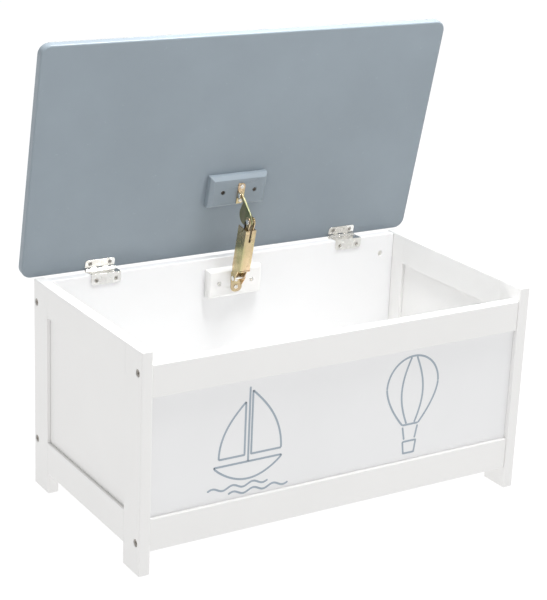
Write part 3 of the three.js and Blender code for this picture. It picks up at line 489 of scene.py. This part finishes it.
turnedKinds = {
    # radius and height in millimetres from the head's top, tip first
    "blockScrew": {
        "profile": [
            (0, -28), (1.1, -26), (1.9, -23), (1.9, -3.2), (3.4, -0.9), (3.4, -0.3), (3.1, 0), (0, 0),
        ],
        "recess": {"kind": "cross", "width": 0.0014, "reach": 0.0027, "depth": 0.002},
    },
    "bracketScrew": {
        "profile": [
            (0, -16), (0.9, -14.6), (1.6, -12), (1.6, -2.2), (3.7, -2.2), (3.7, -1.3), (3.2, -0.6),
            (2.0, -0.1), (0, 0),
        ],
        "recess": {"kind": "cross", "width": 0.0012, "reach": 0.0025, "depth": 0.0013},
    },
    "hingeScrew": {
        "profile": [(0, -12), (0.8, -10.8), (1.4, -9), (1.4, -1.7), (3.5, -0.2), (3.4, 0), (0, 0.25)],
        "recess": {"kind": "cross", "width": 0.0013, "reach": 0.0026, "depth": 0.0016},
    },
    "crossBolt": {
        "profile": [(0, -55), (3, -55), (3, -4), (6.4, -4), (6.4, -0.5), (5.9, 0), (4.2, 0.05), (0, 0.05)],
        "recess": {"kind": "hex", "reach": 0.0026, "depth": 0.0026},
    },
    "barrelNut": {
        "profile": [(0, -12), (5.1, -12), (5.1, -0.4), (4.7, 0), (0, 0)],
        "recess": {"kind": "slot", "width": 0.0016, "depth": 0.0012},
    },
}


def addTurned(name, kind, seat, facing, material, body, node=None, spin=0.5):
    profile = [(radius / 1000, height / 1000) for radius, height in turnedKinds[kind]["profile"]]
    vertices, faces = turnedSurface(profile, seat, facing, turnedKinds[kind]["recess"], spin=spin)
    piece = addPiece(name, vertices, faces, material, body)
    if node:
        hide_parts(node)
    return piece


def headSeat(node, facing):
    # the middle of a turned node's head, where its axis leaves the top
    rows = points(node)
    middle = rows.mean(axis=0)
    along = rows @ np.array(facing)
    return middle + (along.max() - middle @ np.array(facing)) * np.array(facing)


lidHinge = jointOf["lid_hinge"]
lidTilt = math.radians(lidHinge["range_deg"][1])


def openLid(rows):
    # turns closed-lid points about the hinge to where the lid rests
    rows = np.asarray(rows, float)
    pivot = np.array(lidHinge["pos_m"])
    c, s = math.cos(-lidTilt), math.sin(-lidTilt)
    turn = np.array([[1, 0, 0], [0, c, -s], [0, s, c]])
    return (rows - pivot) @ turn.T + pivot


def closeLid(rows):
    pivot = np.array(lidHinge["pos_m"])
    c, s = math.cos(lidTilt), math.sin(lidTilt)
    turn = np.array([[1, 0, 0], [0, c, -s], [0, s, c]])
    return (np.asarray(rows, float) - pivot) @ turn.T + pivot


lidDown = openLid(np.array([[0, 0, -1.0], [0, 0, 0]]))
lidDown = lidDown[0] - lidDown[1]  # the way the lid's underside faces at rest
inwardFromBack = (0.0, -1.0, 0.0)
inwardFromFront = (0.0, 1.0, 0.0)


# radians by which each head's recess is turned further than the last
screwTurns = {"start": 0.4, "screwStep": 0.9, "boltStep": 0.5}


def screwKind(node):
    if "block" in node:
        return "blockScrew"
    if "bracket" in node:
        return "bracketScrew"
    return "hingeScrew"


def addScrews(look):
    turn = look["start"]
    for node in sorted(frame["nodes"]):
        if "_screw" in node:
            kind = screwKind(node)
            facing = lidDown if bodyOf[node] == "lid_body" else np.array(inwardFromBack)
            turn += look["screwStep"]
        elif node.endswith("_bolt"):
            kind = "crossBolt"
            facing = (-1.0, 0.0, 0.0) if node.startswith("left") else (1.0, 0.0, 0.0)
            turn += look["boltStep"]
        else:
            continue
        seat = headSeat(node, facing)
        addTurned("fine_" + node, kind, seat, facing, finishOf(node), bodyOf[node], node, turn)


barrelNuts = {
    "inset": 0.029,  # from the end frame's inner face
    "sink": 0.0018,
    "turn": 0.3,
    "frontHeights": (0.055, 0.339),
    "backHeights": (0.0875, 0.337),
}


def addBarrelNuts(look):
    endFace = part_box("right_front_post")[0][0]
    reach = endFace - look["inset"]
    walls = {
        "front": (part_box("front_top_rail")[1][1] - look["sink"], inwardFromFront, look["frontHeights"]),
        "back": (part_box("back_panel")[0][1] + look["sink"], inwardFromBack, look["backHeights"]),
    }
    for wall, (depth, facing, heights) in walls.items():
        for level, height in zip(("lower", "upper"), heights):
            for side, sign in (("left", -1), ("right", 1)):
                name = f"{side}_{wall}_{level}_barrel_nut"
                seat = (sign * reach, depth, height)
                addTurned(name, "barrelNut", seat, facing, finishes["nickel"], "box_body",
                          spin=look["turn"] + sign)


# The lid: a board with round corners and a rolled edge

lidShape = {
    "corner": 0.019, "edgeRound": 0.003, "cornerSteps": 18, "edgeSteps": 7,
    "flatInset": 0.0152,  # where the flat middle of each face begins
}


def addLid(look):
    # an edge profile (inset d, height z) is carried round a rounded rectangle; a corner's
    # points are its centre + (corner radius - d) (cos a, sin a)
    closed = closeLid(points("lid"))
    low, high = closed.min(axis=0), closed.max(axis=0)
    quarter = np.linspace(0.0, np.pi / 2, look["edgeSteps"])
    curl = look["edgeRound"]
    rising, falling = curl * (1 - np.cos(quarter)), curl * (1 - np.sin(quarter))
    flat = [look["flatInset"]]
    inset = np.concatenate([flat, falling, rising, flat])
    height = np.concatenate([[low[2]], low[2] + rising, high[2] - falling, [high[2]]])
    arc = np.linspace(0.0, np.pi / 2, look["cornerSteps"])
    angle = np.concatenate([arc + turn * np.pi / 2 for turn in range(4)])
    hub = np.array([[high[0], high[1]], [low[0], high[1]], [low[0], low[1]], [high[0], low[1]]])
    hub = hub + look["corner"] * np.array([[-1, -1], [1, -1], [1, 1], [-1, 1]])
    hub = np.repeat(hub, look["cornerSteps"], axis=0)
    reach = look["corner"] - inset
    x = hub[:, 0] + reach[:, None] * np.cos(angle)
    y = hub[:, 1] + reach[:, None] * np.sin(angle)
    z = np.repeat(height[:, None], len(angle), axis=1)
    vertices = openLid(np.stack([x, y, z], axis=-1).reshape(-1, 3))
    rows, columns = len(height), len(angle)
    faces = gridFaces(rows, columns)
    faces.append(list(range(columns))[::-1])
    faces.append(list(range((rows - 1) * columns, rows * columns)))
    piece = addPiece("fine_lid", vertices, faces, finishOf("lid"), bodyOf["lid"])
    piece.modifiers.new("flatFaces", "WEIGHTED_NORMAL").keep_sharp = True
    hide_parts("lid")


# Printed line drawings on the front panel: a sailing boat and a hot-air balloon

motifs = {
    "line": 0.0034,  # width of the drawn line
    "proud": 0.00018,  # how far the ink stands off the panel
    "sunk": 0.0001,  # how far it reaches into the paint
    "step": 0.0012,  # length of one piece of the line
    "boat": {"middle": -0.176, "low": 0.108, "size": 0.176},
    "balloon": {"middle": 0.144, "low": 0.102, "size": 0.182},
}


def ribbon(path, width):
    # a flat strip: each side is half a width off the path, narrowing round at both ends
    path = np.asarray(path, float)
    run = np.concatenate([[0.0], np.cumsum(np.hypot(*np.diff(path, axis=0).T))])
    half = width / 2
    cap = half * (1 - np.cos(np.linspace(0.05, np.pi / 2, 7)))
    spread = np.linspace(half, run[-1] - half, max(3, int(run[-1] / motifs["step"])))
    along = np.concatenate([cap[:-1], spread, (run[-1] - cap[:-1])[::-1]])
    spine = np.stack([np.interp(along, run, path[:, axis]) for axis in (0, 1)], axis=1)
    slope = np.gradient(spine, axis=0)
    slope /= np.linalg.norm(slope, axis=1)[:, None]
    normal = np.stack([-slope[:, 1], slope[:, 0]], axis=1)
    ends = np.minimum(np.minimum(along, run[-1] - along), half)
    reach = np.sqrt(np.maximum(half ** 2 - (half - ends) ** 2, 0.0))[:, None]
    return spine + normal * reach, spine - normal * reach


def curve(function, count=48):
    return np.stack(function(np.linspace(0.0, 1.0, count)), axis=1)


def polyline(*corners):
    return np.array(corners, float)


def boatPaths():
    # unit drawing, 1 high: hull arc, mast, two sails with full leeches and two waves
    hull = curve(lambda t: (-0.36 + 0.72 * t, 0.27 - 0.17 * np.sin(np.pi * t) ** 0.8))
    mainSail = curve(lambda t: (
        0.03 + 0.32 * np.sin(t * np.pi / 2), 0.96 - 0.62 * t + 0.04 * np.sin(np.pi * t)))
    jib = curve(lambda t: (
        -0.04 - 0.27 * np.sin(t * np.pi / 2), 0.86 - 0.52 * t + 0.03 * np.sin(np.pi * t)))
    wave = [curve(lambda t, y=y, x=x: (x + 0.64 * t, y + 0.018 * np.sin(t * 6 * np.pi)))
            for x, y in ((-0.42, 0.045), (-0.2, -0.02))]
    deck = polyline((-0.36, 0.27), (0.36, 0.27))
    mast = polyline((0.0, 0.27), (0.0, 1.0))
    mainEdge = polyline((0.03, 0.96), (0.03, 0.34), (0.35, 0.34))
    jibEdge = polyline((-0.04, 0.86), (-0.04, 0.34), (-0.31, 0.34))
    return [hull, deck, mast, mainSail, mainEdge, jib, jibEdge, *wave]


def balloonPaths():
    # unit drawing, 1 high: round crown, flanks drawn in to the mouth, gores, lines and basket
    crown = curve(lambda t: (0.29 * np.cos(np.pi * t), 0.71 + 0.29 * np.sin(np.pi * t)))
    flanks = [curve(lambda t, s=s: (s * (0.29 - 0.2 * t ** 1.5), 0.71 - 0.39 * t ** 0.9)) for s in (-1, 1)]
    gores = [curve(lambda t, s=s: (s * 0.12 * np.sin(np.pi * (0.08 + 0.8 * t)), 0.99 - 0.66 * t))
             for s in (-1, 1)]
    lines = [polyline((s * 0.085, 0.3), (s * 0.06, 0.17)) for s in (-1, 1)]
    basket = polyline((-0.075, 0.15), (0.075, 0.15), (0.06, 0.03), (-0.06, 0.03), (-0.075, 0.15))
    return [crown, *flanks, *gores, polyline((-0.09, 0.32), (0.09, 0.32)), *lines, basket]


def addMotif(name, paths, look):
    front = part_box("front_panel")[0][1]
    vertices, faces = [], []
    for path in paths:
        left, right = ribbon(path * look["size"] + (look["middle"], look["low"]), motifs["line"])
        count = len(left)
        start = sum(len(block) for block in vertices)
        inkFace, inkBack = front - motifs["proud"], front + motifs["sunk"]
        rims = ((left, inkFace), (right, inkFace), (right, inkBack), (left, inkBack))
        sheet = [np.insert(side, 1, depth, axis=1) for side, depth in rims]
        block = np.stack(sheet, axis=1).reshape(-1, 3)
        faces += (np.array(gridFaces(count, 4)) + start).tolist()
        faces.append([start + corner for corner in (3, 2, 1, 0)])
        faces.append([start + (count - 1) * 4 + corner for corner in (0, 1, 2, 3)])
        vertices.append(block)
    addPiece(name, np.concatenate(vertices), faces, finishes["printInk"], "box_body")


# Building

addLid(lidShape)
addScrews(screwTurns)
addBarrelNuts(barrelNuts)
addMotif("boat_print", boatPaths(), motifs["boat"])
addMotif("balloon_print", balloonPaths(), motifs["balloon"])
print("turned pieces, lid and prints made")

replaced = {"lid"} | {node for node in frame["nodes"] if "_screw" in node or node.endswith("_bolt")}
for node in sorted(set(frame["nodes"]) - replaced):
    refine(node)
print("CAD pieces refined:", len(frame["nodes"]) - len(replaced))

for node, piece in frame["nodes"].items():
    piece.data.materials.clear()
    piece.data.materials.append(finishOf(node))
